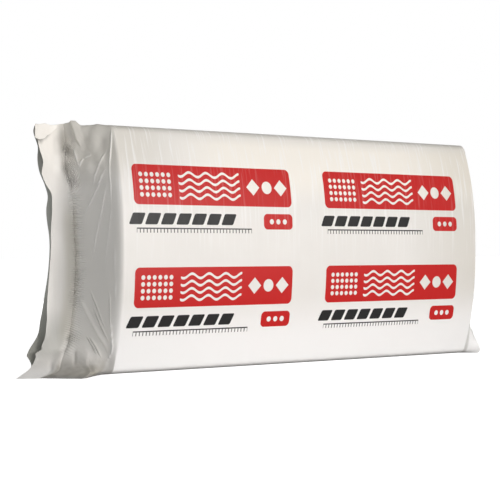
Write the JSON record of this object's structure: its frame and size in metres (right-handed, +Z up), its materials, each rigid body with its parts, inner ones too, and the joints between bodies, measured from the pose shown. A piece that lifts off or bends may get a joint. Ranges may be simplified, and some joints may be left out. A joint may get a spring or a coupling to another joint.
{
  "type": "film-wrapped pack of mineral wool facade boards",
  "caption": "Film-wrapped pack of mineral wool facade boards standing on its long edge, with welded ends and loose film flaps.",
  "frame": {"origin": "on the floor under the middle of the pack, half way along its length and its thickness", "axes": "+X along the 1200 mm length of the boards, +Y from the front face to the back face, +Z up along their 600 mm width"},
  "size_m": [1.68, 0.302, 0.602],
  "materials": {
    "film": "opaque white polyethylene film with red printed bands",
    "board": "matt pressed stone wool fibre"
  },
  "bodies": {
    "root": {"film_wrap": "film", "board_1": "board", "board_2": "board", "board_3": "board", "board_4": "board", "board_5": "board", "board_6": "board"}
  },
  "joints": []
}
